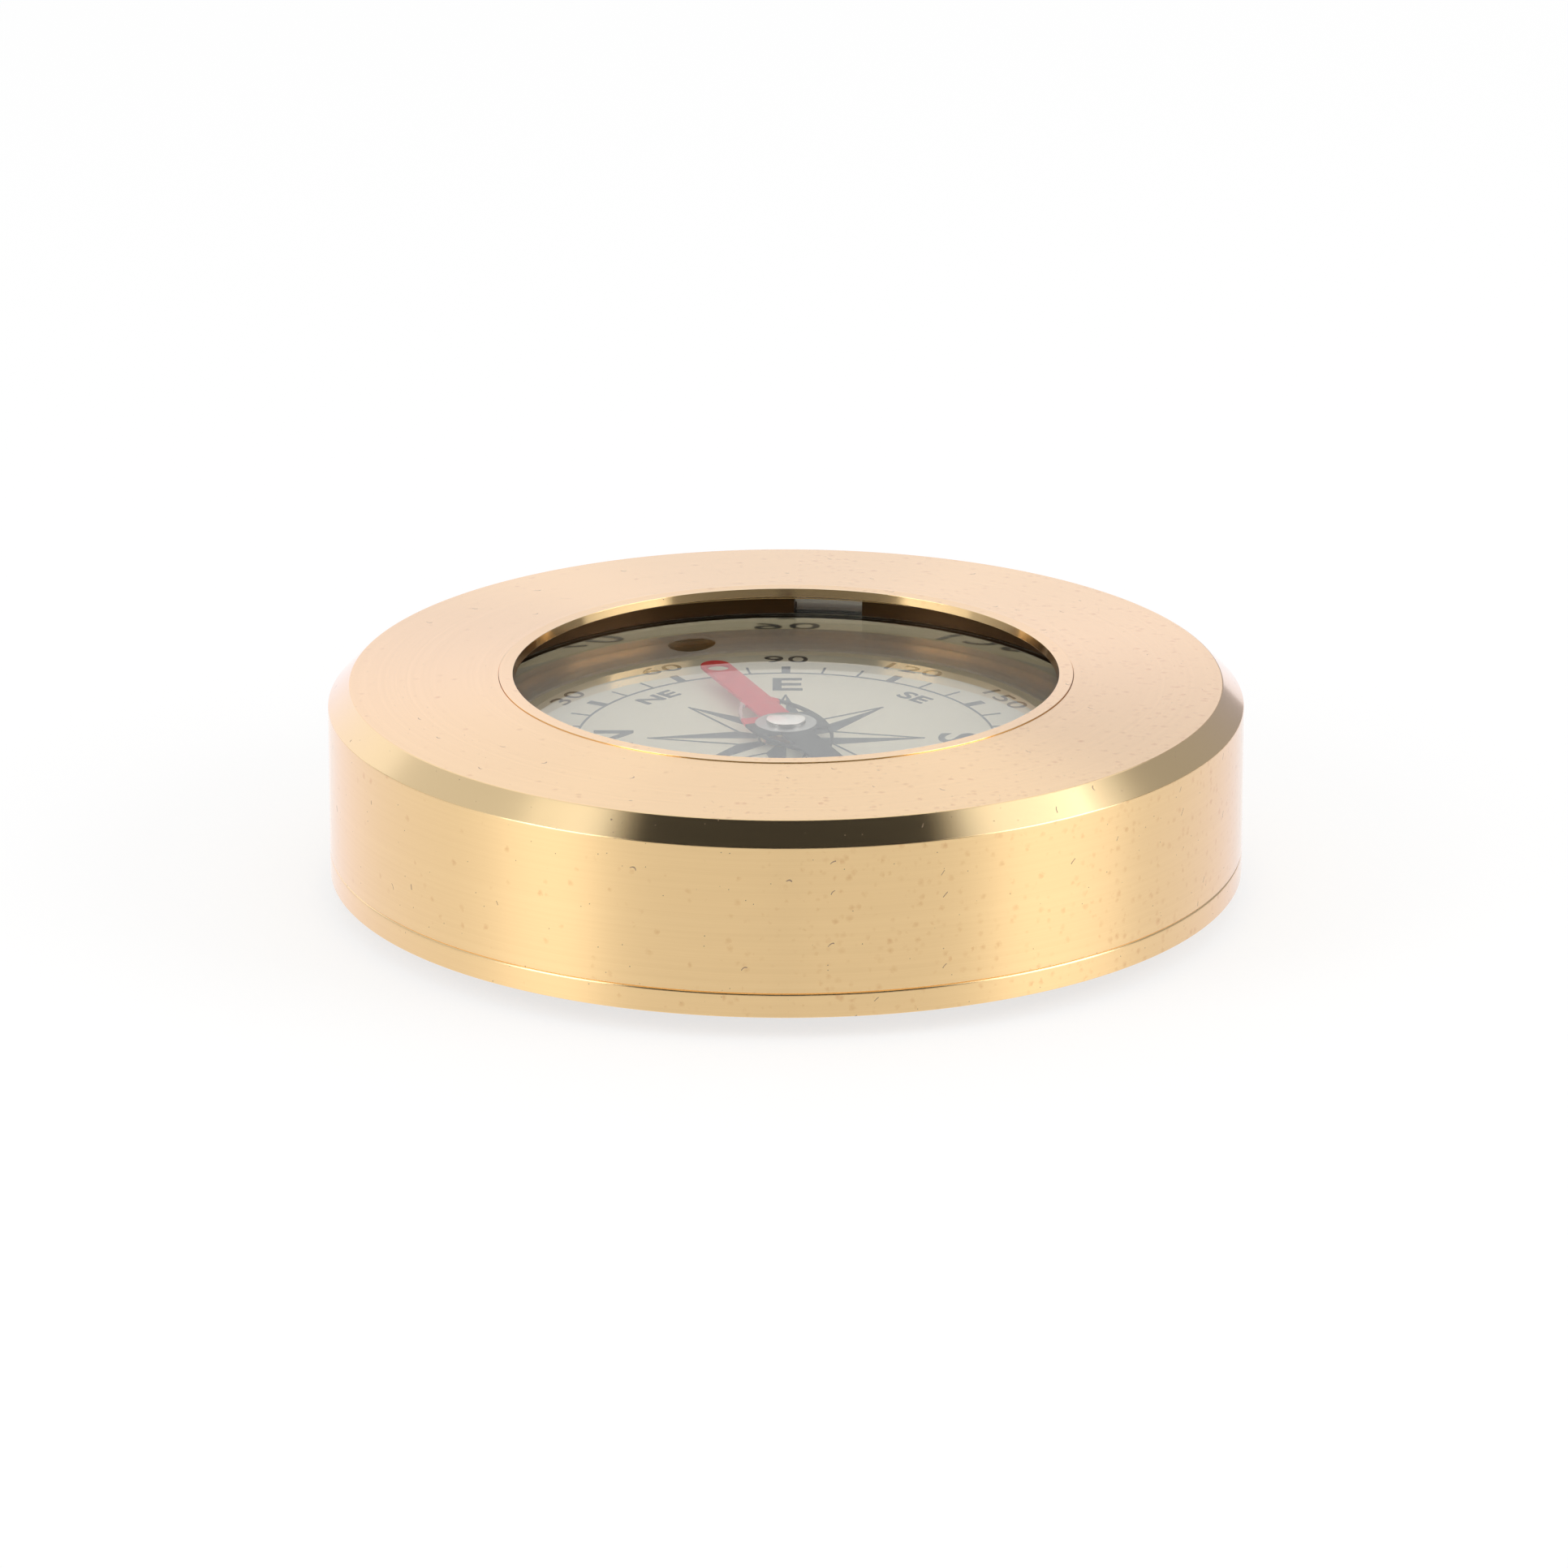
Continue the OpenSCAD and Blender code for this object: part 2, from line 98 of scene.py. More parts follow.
# Dial print: the radius that its top reaches, its height, and its width as a share of the font's own,
# then the degrees between numbers, and how tall the font's capitals are as a share of its size
NUMBERS = {"radius": 15.95 * MM, "height": 1.3 * MM, "wide": 1.6, "spread": 1.08}
LETTERS = {"radius": 10.85 * MM, "height": 2.55 * MM, "wide": 1.28, "bold": 0.05 * MM}
SMALL_LETTERS = {"radius": 11.5 * MM, "height": 1.25 * MM, "wide": 1.42, "bold": 0.03 * MM}
NUMBER_STEP = 30
CAP_HEIGHT_SHARE = 0.729
FONT_STEPS = 6
INK_HEIGHT = 0.03 * MM

# Needle's blade, a stamped strip with wings
WELD = 0.0005 * MM
FLAT_ANGLE = math.radians(1)
BLADE_BREAK = 0.03 * MM
BLADE_STEPS = 2
BLADE_CORNER = math.radians(60)
BLADE_FACET = math.radians(25)

# Needle's paint, by how far it lies north of the pivot and beside the needle's middle line
REST_BEARING = math.radians(69)
PAINT_START = 0.6 * MM
PAINT_BLEND = 0.06 * MM
PAINT_WAVER = 0.1 * MM
PAINT_SLANT = 12
PAINT_GRAIN = 1500.0
PAINT_DEPTH = 0.004 * MM
STRIP_HALF = 0.9 * MM
WING_START = 1.1 * MM
WING_BLEND = 0.05 * MM
BARE_START = 1.6 * MM
BARE_BLEND = 0.3 * MM
BARE_SHARE = 0.75
RED = ((0.72, 0.012, 0.028), (0.82, 0.018, 0.036))
BLACK = ((0.018, 0.018, 0.022), (0.035, 0.035, 0.04))
BARE_METAL = (0.62, 0.57, 0.53)

# Where most of a noise's values lie
NOISE_LOW, NOISE_HIGH = 0.3, 0.7

# A Mix node's colour sockets, which share their names with its other sockets
MIX_FACTOR, MIX_FIRST, MIX_SECOND, MIX_RESULT = 0, 6, 7, 2

# Lathe lines: rings per metre and streaks per radian
BRASS_LINES = {"Fineness": 5000.0, "Arc": 6.0}
BRASS_LINE_DEPTH = 0.0002 * MM
BRASS_LINE_STRENGTH = 0.5
FINE_LINES = {"Fineness": 9000.0, "Arc": 4.0}
FINE_LINE_DEPTH = 0.0004 * MM
FINE_LINE_STRENGTH = 0.4
FINE_LINE_SHADE = 0.93
FINE_STREAKS = (0.85, 1.15)

# Dust: how its fibres curve, what their width is measured square to, and its finer specks
FIBRE_BEND = 2.5
FIBRE_ACROSS = (0.3, 0.5, 0.8)
SPECK_DENSITY = 2.7
SPECK_SIZE = 0.07
SPECK_SHARE = 0.3

# Tarnish: how bent, soft and faint its spots are, and what share of them shows from left to right, in
# patches. Waves and patches are counted to the metre.
SPOT_WAVES = 4000.0
SPOT_BEND = 0.25 * MM
SPOT_EDGE = 0.55
SPOT_FAINT = 0.35
PATCHES = 120.0
PATCH_SHIFT = 12 * MM
SPOT_SIDES = (-2 * MM, 12 * MM)
SPOT_SHARES = (0.12, 0.85)

# Brass: colours of its lines, of the painted highlight on its chamfer (a paler, whiter brass), of its
# spots and of its dust
BRASS = ((0.955, 0.66, 0.315), (0.985, 0.69, 0.335))
CHAMFER_PAINTED_HIGHLIGHT = (0.985, 0.735, 0.40)
SPOT_BROWN = (0.76, 0.42, 0.17)
SPOT_DEPTH = 0.8
DUST_BROWN = (0.24, 0.16, 0.09)

# Brass: how far up a chamfer faces, which sets where its painted highlight lies, and how softly that
# ends, where one roughness passes into the next, and how rough its parts are
PAINTED_HIGHLIGHT_FACING = (0.45, 0.9, 0.05)
WALL_TO_CORNER = (0.2, 0.6)
CORNER_TO_FACE = (0.8, 0.95)
WALL_ROUGH = 0.36
CORNER_ROUGH = 0.17
FACE_ROUGH = 0.25
BEZEL_ROUGH = 0.12
DUST_ROUGH = 0.5
BRASS_STREAKS = (0.97, 1.03)

# Nickel of the liner and its rim, and of the cap: its crown, then the dark grey painted shade on its
# flange and on the crown's side, and the height over which that painted shade fades in
LINER = ((0.93, 0.89, 0.76), (0.99, 0.95, 0.82))
LINER_RIM = (0.74, 0.70, 0.60)
LINER_ROUGH = (0.06, 0.6)
RIM_FACING = (0.3, 0.6)
PAINTED_SHADE_BELOW_CROWN = ((0.36, 0.34, 0.33), (0.42, 0.40, 0.39))
CROWN = (0.86, 0.78, 0.74)
CAP_ROUGH = (0.3, 0.12)
CROWN_SHADE = 0.1 * MM

# Plain turned metals: colour and roughness
PLAIN_METALS = {
    "screw_steel": ((0.5, 0.5, 0.51), 0.35),
    "foot_brass": ((0.78, 0.58, 0.32), 0.25),
    "cup_nickel": ((0.72, 0.70, 0.66), 0.3),
    # The snap ring's steel is painted dark brown: partly blackened steel, partly painted shade for
    # where it lies under the bezel
    "spring_steel": ((0.10, 0.055, 0.025), 0.4),
    "pin_steel": ((0.62, 0.62, 0.64), 0.15),
}

# Grained finishes: darkest and palest colour, grains per metre, roughness and depth of the grain
GRAINED = {
    "dial_ink": ((0.028, 0.031, 0.045), (0.045, 0.05, 0.065), 9000.0, 0.5, 0.002 * MM),
    "pad_rubber": ((0.02, 0.02, 0.02), (0.04, 0.04, 0.04), 6000.0, 0.8, 0.02 * MM),
    "seal_rubber": ((0.68, 0.64, 0.56), (0.74, 0.70, 0.62), 8000.0, 0.7, 0.002 * MM),
    "card_enamel": ((0.86, 0.77, 0.60), (0.90, 0.80, 0.63), 2500.0, 0.5, 0.001 * MM),
    "ring_aluminium": ((0.60, 0.56, 0.53), (0.68, 0.64, 0.60), 4000.0, 0.45, 0.001 * MM),
    "adhesive_film": ((0.74, 0.74, 0.72), (0.8, 0.8, 0.78), 4000.0, 0.4, 0.002 * MM),
    "cushion_foam": ((0.02, 0.02, 0.022), (0.05, 0.05, 0.052), 5000.0, 0.9, 0.05 * MM),
    "seat_plastic": ((0.02, 0.02, 0.02), (0.03, 0.03, 0.03), 7000.0, 0.45, 0.004 * MM),
    "jewel_ruby": ((0.45, 0.02, 0.08), (0.55, 0.03, 0.1), 3000.0, 0.1, 0.0),
}

# How far their roughness strays, and how metallic one of them is
GRAIN_ROUGH = 0.05
SHEEN = {"ring_aluminium": 0.2}

# The finish of each node that no piece here stands for
NODE_FINISHES = {
    "dial_card": "card_enamel",
    "scale_print": "dial_ink",
    "rose_print": "dial_ink",
    "dial_ring": "ring_aluminium",
    "pad_tape": "adhesive_film",
    "capsule_cushion": "cushion_foam",
    "capsule_cup": "cup_nickel",
    "dial_seat": "seat_plastic",
    "glass_seal": "seal_rubber",
    "snap_ring": "spring_steel",
    "foot_screw": "screw_steel",
    "pivot_foot": "foot_brass",
    "pivot_pin": "pin_steel",
    "needle_collar": "foot_brass",
    "cap_jewel": "jewel_ruby",
}

# A count of matt bounces below this is none
NO_BOUNCE = 0.5

# Floor: how much of it is plain white where the camera sees it, and where metal or glass mirrors it
FLOOR_R = 3
FLOOR_SIDES = 64
FLOOR_DROP = 0.02 * MM
FLOOR_GREY = (0.9, 0.9, 0.9)
FLOOR_SEEN = 0.72
FLOOR_MIRRORED = 0.9

# Surround: how bright its sides look in metal and glass, and the even light on matt surfaces
DARK_SIDE = 0.02
GREY_SIDE = 0.38
DIM_SIDE = 0.65
LOW_SHADE = 0.5
FRONT_GLOW = 0.12
FILL = 0.95

# Sides of the surround. An arc lies between two angles round from the camera, positive to the right.
# A top, a foot or an edge fades between its two values. Heights run from 0 level to 1 overhead.
GREY_ARC = (math.radians(94), math.radians(172))
DIM_ARC = (math.radians(-126), math.radians(-84))
ARC_SOFT = 0.03
GREY_TOP = (0.6, 0.66)
FRONT_FOOT = (0.1, 0.17)
FRONT_EDGE = (math.radians(48), math.radians(53))
GLOW_TOP = (0.22, 0.4)
LOW_ARC = (math.radians(78), math.radians(140))
LOW_ARC_SOFT = 0.1
LOW_TOP = (0.07, 0.1)

# The dark card overhead: where its edges fade, as shares of its height above the compass
CARD_SIDE = (0.5, 0.56)
CARD_BACK = (0.05, 0.12)
LEAST_HEIGHT = 0.001

# Softboxes: degrees round from the camera, degrees up, width and height, and watts
SOFTBOX_AWAY = 0.7
SOFTBOXES = {
    "softbox_left": (-62, 32, (0.3, 0.32), 0.88),
    "softbox_right": (74, 31, (0.4, 0.32), 1.12),
}


# Modelling

def nothing_selected():
    """Deselects every object."""
    bpy.ops.object.select_all(action="DESELECT")


def select_only(*pieces):
    """Selects these pieces and no others, and makes the first of them active."""
    nothing_selected()
    for piece in pieces:
        piece.select_set(True)
    bpy.context.view_layer.objects.active = pieces[0]


def apply_modifier(piece, name, kind, **settings):
    """Adds a modifier with these settings and applies it."""
    select_only(piece)
    modifier = piece.modifiers.new(name, kind)
    for key, value in settings.items():
        setattr(modifier, key, value)
    bpy.ops.object.modifier_apply(modifier=name)


def break_edges(piece, width, steps=BREAK_STEPS, corner=CORNER_ANGLE, facet=FACET_ANGLE):
    """Rounds the corners of a piece, then shades it smooth between them."""
    apply_modifier(piece, "broken edges", "BEVEL", width=width, segments=steps,
                   limit_method="ANGLE", angle_limit=corner, use_clamp_overlap=True)
    bpy.ops.object.shade_smooth_by_angle(angle=facet)


def turned(name, outline, edge_break, hollow=False):
    """A turned piece: a circle drawn along its outline of radius and height.

    A hollow piece's last circle is joined to its first; a solid one gets a flat face at each end."""
    nothing_selected()
    first_r, first_z = outline[0]
    bpy.ops.mesh.primitive_circle_add(vertices=TURN_SIDES, radius=first_r, enter_editmode=True)
    piece = bpy.context.active_object
    piece.name = piece.data.name = name
    bpy.ops.transform.translate(value=(0, 0, first_z))
    for (r, z), (next_r, next_z) in zip(outline, outline[1:]):
        bpy.ops.mesh.extrude_region_move(TRANSFORM_OT_translate={"value": (0, 0, next_z - z)})
        grow = next_r / r
        bpy.ops.transform.resize(value=(grow, grow, 1), center_override=(0, 0, next_z))
    bpy.ops.mesh.select_all(action="DESELECT")
    bpy.ops.mesh.select_non_manifold()
    if hollow:
        bpy.ops.mesh.bridge_edge_loops()
    else:
        bpy.ops.mesh.fill_holes(sides=0)
    bpy.ops.mesh.select_all(action="SELECT")
    bpy.ops.mesh.normals_make_consistent(inside=False)
    bpy.ops.object.mode_set(mode="OBJECT")
    break_edges(piece, edge_break)
    return piece


def finish(piece, material):
    """Gives a piece its one finish."""
    piece.data.materials.clear()
    piece.data.materials.append(material)


def settle(piece, material, body, slot, *nodes):
    """Gives a piece its finish and body, and hides the nodes that it stands for."""
    finish(piece, material)
    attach(piece, body)
    if nodes:
        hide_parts(*nodes)


# Shader nodes

def value_of(tree, socket, value):
    """Links a socket to an output, or sets its own value. A colour comes without its alpha."""
    if isinstance(value, bpy.types.NodeSocket):
        tree.links.new(value, socket)
    elif socket.type == "RGBA":
        socket.default_value = (*value, 1)
    else:
        socket.default_value = value


def values_by_name(tree, node, sockets):
    """Links or sets a node's sockets by name, where _ stands for a space."""
    for key, value in sockets.items():
        value_of(tree, node.inputs[key.replace("_", " ")], value)


def add(tree, kind, settings=None, **sockets):
    """Adds a node, with its settings and its sockets."""
    made = tree.nodes.new("ShaderNode" + kind)
    for key, value in (settings or {}).items():
        setattr(made, key, value)
    values_by_name(tree, made, sockets)
    return made


def maths(tree, operation, *values, clamp=False):
    """The output of a Math node on these values."""
    made = add(tree, "Math", {"operation": operation, "use_clamp": clamp})
    for socket, value in zip(made.inputs, values):
        value_of(tree, socket, value)
    return made.outputs[0]


def product(tree, first, *others):
    """Two or more values multiplied together."""
    for other in others:
        first = maths(tree, "MULTIPLY", first, other)
    return first


def without(tree, mask):
    """1 where a mask is 0, and 0 where it is 1."""
    return maths(tree, "SUBTRACT", 1.0, mask)


def vectors(tree, operation, *values, **sockets):
    """The output of a Vector Math node on these vectors."""
    made = add(tree, "VectorMath", {"operation": operation}, **sockets)
    for socket, value in zip(made.inputs, values):
        value_of(tree, socket, value)
    return made.outputs["Value" if operation == "DOT_PRODUCT" else "Vector"]


def axes(tree, vector):
    """The three parts of a vector."""
    parts = add(tree, "SeparateXYZ", Vector=vector).outputs
    return parts["X"], parts["Y"], parts["Z"]


def on_piece(tree):
    """The place on the piece's own axes."""
    return add(tree, "TexCoord").outputs["Object"]


def facing_up(tree):
    """1 where a surface faces up, 0 where it is upright and -1 where it faces down."""
    return axes(tree, add(tree, "TexCoord").outputs["Normal"])[2]


def noise(tree, place, scale, detail):
    """A noise node over a place."""
    return add(tree, "TexNoise", Vector=place, Scale=scale, Detail=detail).outputs


def remap(tree, value, low, high, to_low=0.0, to_high=1.0):
    """A value's range mapped on to another, clamped at its ends."""
    made = add(tree, "MapRange", From_Min=low, From_Max=high, To_Min=to_low, To_Max=to_high)
    value_of(tree, made.inputs["Value"], value)
    return made.outputs["Result"]


def fade(tree, value, low, high):
    """A mask that is 1 below the first value and 0 above the second."""
    return remap(tree, value, low, high, 1.0, 0.0)


def band(tree, value, low, high, soft):
    """A mask that is 1 between two values, with soft ends."""
    return product(tree, remap(tree, value, low - soft, low + soft),
                   fade(tree, value, high - soft, high + soft))


def over_noise(tree, noise_value, low, high):
    """A value that goes from low to high as a noise rises."""
    return remap(tree, noise_value, NOISE_LOW, NOISE_HIGH, low, high)


def two_tone(tree, noise_value, dark, pale):
    """A colour that goes from dark to pale as a noise rises."""
    made = add(tree, "ValToRGB", Fac=noise_value)
    first, last = made.color_ramp.elements
    first.position, last.position = NOISE_LOW, NOISE_HIGH
    first.color, last.color = (*dark, 1), (*pale, 1)
    return made.outputs["Color"]


def mix(tree, factor, first, second):
    """One colour mixed with another."""
    made = add(tree, "Mix", {"data_type": "RGBA"})
    value_of(tree, made.inputs[MIX_FACTOR], factor)
    value_of(tree, made.inputs[MIX_FIRST], first)
    value_of(tree, made.inputs[MIX_SECOND], second)
    return made.outputs[MIX_RESULT]


def mix_shaders(tree, factor, first, second):
    """One shader mixed with another."""
    made = add(tree, "MixShader")
    for socket, value in zip(made.inputs, (factor, first, second)):
        value_of(tree, socket, value)
    return made.outputs[0]


def new_group(name, inputs, outputs):
    """A shader node group of numbers. Gives its tree, what comes into it and what it puts out."""
    tree = bpy.data.node_groups.new(name, "ShaderNodeTree")
    for title, default in inputs.items():
        socket = tree.interface.new_socket(title, in_out="INPUT", socket_type="NodeSocketFloat")
        socket.default_value = default
    for title in outputs:
        tree.interface.new_socket(title, in_out="OUTPUT", socket_type="NodeSocketFloat")
    return tree, tree.nodes.new("NodeGroupInput").outputs, tree.nodes.new("NodeGroupOutput").inputs


def use_group(tree, group, **sockets):
    """Places a group in a material, with its own values."""
    made = add(tree, "Group", {"node_tree": group}, **sockets)
    return made.outputs


# Marks on the metal

def turning_lines_group():
    """The fine rings that a lathe leaves: quick across them, slow along them."""
    tree, given, out = new_group(
        "turning lines", {"Fineness": 6000.0, "Arc": 5.0}, ["Lines", "Streaks"])
    x, y, z = axes(tree, on_piece(tree))
    radius = maths(tree, "SQRT", maths(tree, "ADD", maths(tree, "POWER", x, 2.0),
                                       maths(tree, "POWER", y, 2.0)))
    along_x = product(tree, maths(tree, "DIVIDE", x, radius), given["Arc"])
    along_y = product(tree, maths(tree, "DIVIDE", y, radius), given["Arc"])
    across = product(tree, radius, given["Fineness"])
    up = product(tree, z, given["Fineness"])
    rings = add(tree, "CombineXYZ", X=across, Y=up).outputs["Vector"]
    lines = add(tree, "TexNoise", {"noise_dimensions": "2D"}, Vector=rings, Scale=1.0, Detail=3.0,
                Roughness=0.7).outputs["Fac"]
    arcs = add(tree, "CombineXYZ", X=along_x, Y=along_y, Z=across).outputs["Vector"]
    streaks = add(tree, "TexNoise", {"noise_dimensions": "4D"}, Vector=arcs, W=up, Scale=1.0,
                  Detail=2.0).outputs["Fac"]
    tree.links.new(lines, out["Lines"])
    tree.links.new(streaks, out["Streaks"])
    return tree


def chosen_cells(tree, cells, share):
    """1 in a random share of the cells."""
    pick = add(tree, "SeparateColor", Color=cells.outputs["Color"]).outputs[0]
    return maths(tree, "LESS_THAN", pick, share)


def dust_group():
    """Sparse dust, as a mask: a short curved fibre in a few of the cells, and finer specks."""
    tree, given, out = new_group(
        "dust", {"Density": 750.0, "Share": 0.17, "Length": 0.17, "Width": 0.017}, ["Dust"])
    place = on_piece(tree)
    cells = add(tree, "TexVoronoi", Vector=place, Scale=given["Density"])
    from_middle = vectors(tree, "SUBTRACT", place, cells.outputs["Position"])
    from_middle = vectors(tree, "SCALE", from_middle, Scale=given["Density"])
    # A cell's random colour, from -1 to 1, gives its fibre's direction
    random = vectors(tree, "MULTIPLY_ADD", cells.outputs["Color"], (2, 2, 2), (-1, -1, -1))
    along = vectors(tree, "NORMALIZE", random)
    run = vectors(tree, "DOT_PRODUCT", from_middle, along)
    aside = vectors(tree, "DOT_PRODUCT", from_middle,
                    vectors(tree, "CROSS_PRODUCT", along, FIBRE_ACROSS))
    off = maths(tree, "SUBTRACT", aside, product(tree, run, run, FIBRE_BEND))
    hair = maths(tree, "LESS_THAN", maths(tree, "ABSOLUTE", off), given["Width"])
    near = maths(tree, "LESS_THAN", cells.outputs["Distance"], given["Length"])
    fibres = product(tree, near, hair, chosen_cells(tree, cells, given["Share"]))
    fineness = product(tree, given["Density"], SPECK_DENSITY)
    fine = add(tree, "TexVoronoi", Vector=place, Scale=fineness)
    dot = maths(tree, "LESS_THAN", fine.outputs["Distance"], SPECK_SIZE)
    specks = product(tree, dot, chosen_cells(tree, fine, SPECK_SHARE))
    tree.links.new(maths(tree, "MAXIMUM", fibres, specks), out["Dust"])
    return tree


def tarnish_group():
    """Small faint tarnish spots, most of them on one side, as a mask."""
    tree, given, out = new_group("tarnish", {"Density": 2100.0, "Size": 0.6}, ["Spots"])
    place = on_piece(tree)
    bend = noise(tree, place, SPOT_WAVES, detail=1.0)["Color"]
    bent = vectors(tree, "MULTIPLY_ADD", bend, (SPOT_BEND, SPOT_BEND, SPOT_BEND), place)
    cells = add(tree, "TexVoronoi", Vector=bent, Scale=given["Density"])
    choice, width, depth = list(add(tree, "SeparateColor", Color=cells.outputs["Color"]).outputs)
    patches = noise(tree, place, PATCHES, detail=1.0)["Fac"]
    across = maths(tree, "ADD", axes(tree, place)[0], product(tree, patches, PATCH_SHIFT))
    chosen = maths(tree, "LESS_THAN", choice, remap(tree, across, *SPOT_SIDES, *SPOT_SHARES))
    inside = maths(tree, "SUBTRACT", product(tree, given["Size"], width),
                   cells.outputs["Distance"])
    spots = product(tree, chosen, remap(tree, inside, 0.0, SPOT_EDGE),
                    remap(tree, depth, 0.0, 1.0, SPOT_FAINT, 1.0))
    tree.links.new(spots, out["Spots"])
    return tree


# Finishes

def new_material(name):
    """A material with its tree and its Principled shader."""
    material = bpy.data.materials.new(name)
    material.use_nodes = True
    tree = material.node_tree
    return material, tree, tree.nodes["Principled BSDF"]


def bump(tree, shader, height, distance, strength=1.0):
    """Raises the surface by a height map."""
    made = add(tree, "Bump", Height=height, Distance=distance, Strength=strength)
    tree.links.new(made.outputs["Normal"], shader.inputs["Normal"])


def turned_brass(name, effects, wall_rough=WALL_ROUGH, corner_rough=CORNER_ROUGH):
    """Lathe-turned brass with rings, dust and tarnish. Its wall is satin; its chamfer is smoother and
    painted a paler brass, a painted highlight.
    """
    material, tree, shader = new_material(name)
    marks = use_group(tree, effects["lines"], **BRASS_LINES)
    spots = use_group(tree, effects["tarnish"])["Spots"]
    dust = use_group(tree, effects["dust"])["Dust"]
    upward = maths(tree, "ABSOLUTE", facing_up(tree))
    colour = two_tone(tree, marks["Lines"], *BRASS)
    colour = mix(tree, product(tree, spots, SPOT_DEPTH), colour, SPOT_BROWN)
    # A paler, whiter brass painted where faces slope like the chamfer: a painted highlight
    colour = mix(tree, band(tree, upward, *PAINTED_HIGHLIGHT_FACING), colour, CHAMFER_PAINTED_HIGHLIGHT)
    colour = mix(tree, dust, colour, DUST_BROWN)
    rough = remap(tree, upward, *WALL_TO_CORNER, wall_rough, corner_rough)
    rough = maths(tree, "ADD", rough,
                  remap(tree, upward, *CORNER_TO_FACE, 0.0, FACE_ROUGH - corner_rough))
    rough = product(tree, rough, over_noise(tree, marks["Streaks"], *BRASS_STREAKS))
    rough = maths(tree, "ADD", rough, product(tree, dust, DUST_ROUGH))
    values_by_name(tree, shader, dict(
        Base_Color=colour, Metallic=without(tree, dust), Roughness=rough, Anisotropic=0.95,
        Anisotropic_Rotation=0.25, Coat_Weight=1.0, Coat_Roughness=0.1, Specular_Tint=(1, 0.88, 1)))
    bump(tree, shader, marks["Lines"], BRASS_LINE_DEPTH, BRASS_LINE_STRENGTH)
    return material


def plain_metal(name, lines, colour, roughness):
    """A bright turned metal with faint rings."""
    material, tree, shader = new_material(name)
    marks = use_group(tree, lines, **FINE_LINES)
    darker = [FINE_LINE_SHADE * c for c in colour]
    rough = over_noise(tree, marks["Streaks"], *(roughness * share for share in FINE_STREAKS))
    values_by_name(tree, shader, dict(
        Base_Color=two_tone(tree, marks["Lines"], darker, colour), Metallic=1.0, Roughness=rough,
        Anisotropic=0.3, Anisotropic_Rotation=0.25))
    bump(tree, shader, marks["Lines"], FINE_LINE_DEPTH, FINE_LINE_STRENGTH)
    return material


def grained(name, dark, pale, fineness, roughness, depth):
    """A matt or moulded surface with a fine grain."""
    material, tree, shader = new_material(name)
    grain = noise(tree, on_piece(tree), fineness, detail=4.0)["Fac"]
    rough = over_noise(tree, grain, roughness - GRAIN_ROUGH, roughness + GRAIN_ROUGH)
    values_by_name(tree, shader, dict(
        Base_Color=two_tone(tree, grain, dark, pale), Roughness=rough,
        Metallic=SHEEN.get(name, 0.0)))
    bump(tree, shader, grain, depth)
    return material


def clear_glass():
    """Clear flat glass."""
    material, tree, shader = new_material("clear_glass")
    values_by_name(tree, shader, dict(
        Base_Color=(0.97, 0.99, 0.975), Roughness=0.0, IOR=1.5, Metallic=0.0,
        Transmission_Weight=1.0))
    return material


def liner_metal(lines):
    """Polished nickel of the liner, with a pale matt rim under the glass."""
    material, tree, shader = new_material("liner_nickel")
    marks = use_group(tree, lines, **FINE_LINES)["Lines"]
    rim = remap(tree, facing_up(tree), *RIM_FACING)
    values_by_name(tree, shader, dict(
        Base_Color=mix(tree, rim, two_tone(tree, marks, *LINER), LINER_RIM),
        Metallic=without(tree, rim), Roughness=remap(tree, rim, 0.0, 1.0, *LINER_ROUGH)))
    bump(tree, shader, marks, FINE_LINE_DEPTH, FINE_LINE_STRENGTH)
    return material


def cap_metal(lines, crown_z):
    """Nickel of the needle's cap: its crown is polished; its flange and the crown's side are rougher
    and painted dark grey, a painted shade.
    """
    material, tree, shader = new_material("bright_nickel")
    marks = use_group(tree, lines, **FINE_LINES)["Lines"]
    crown = remap(tree, axes(tree, on_piece(tree))[2], crown_z - CROWN_SHADE, crown_z)
    # Below the crown the nickel is painted dark grey: painted shade on the crown's side and on the
    # flange
    values_by_name(tree, shader, dict(
        Base_Color=mix(tree, crown, two_tone(tree, marks, *PAINTED_SHADE_BELOW_CROWN), CROWN), Metallic=1.0,
        Roughness=remap(tree, crown, 0.0, 1.0, *CAP_ROUGH)))
    return material


def needle_paint():
    """Red paint on the needle's north half, worn bare on one wing, and black on its south half."""
    material, tree, shader = new_material("needle_paint")
    place = on_piece(tree)
    x, y = axes(tree, place)[:2]
    north = Vector((-math.cos(REST_BEARING), math.sin(REST_BEARING)))
    along = maths(tree, "ADD", product(tree, x, north.x), product(tree, y, north.y))
    across = maths(tree, "ADD", product(tree, x, north.y), product(tree, y, -north.x))
    wobble = noise(tree, place, PAINT_GRAIN, detail=3.0)["Fac"]
    beside = maths(tree, "MAXIMUM", maths(tree, "SUBTRACT", across, STRIP_HALF), 0.0)
    edge = maths(tree, "SUBTRACT", along, product(tree, beside, PAINT_SLANT))
    edge = maths(tree, "ADD", edge, product(tree, wobble, PAINT_WAVER))
    painted = mix(tree, remap(tree, edge, PAINT_START, PAINT_START + PAINT_BLEND),
                  two_tone(tree, wobble, *BLACK), two_tone(tree, wobble, *RED))
    worn = product(tree, fade(tree, across, -WING_START - WING_BLEND, -WING_START),
                   remap(tree, along, BARE_START, BARE_START + BARE_BLEND), BARE_SHARE)
    values_by_name(tree, shader, dict(
        Base_Color=mix(tree, worn, painted, BARE_METAL), Roughness=0.55, Specular_IOR_Level=0.2))
    bump(tree, shader, wobble, PAINT_DEPTH)
    return material


# The studio

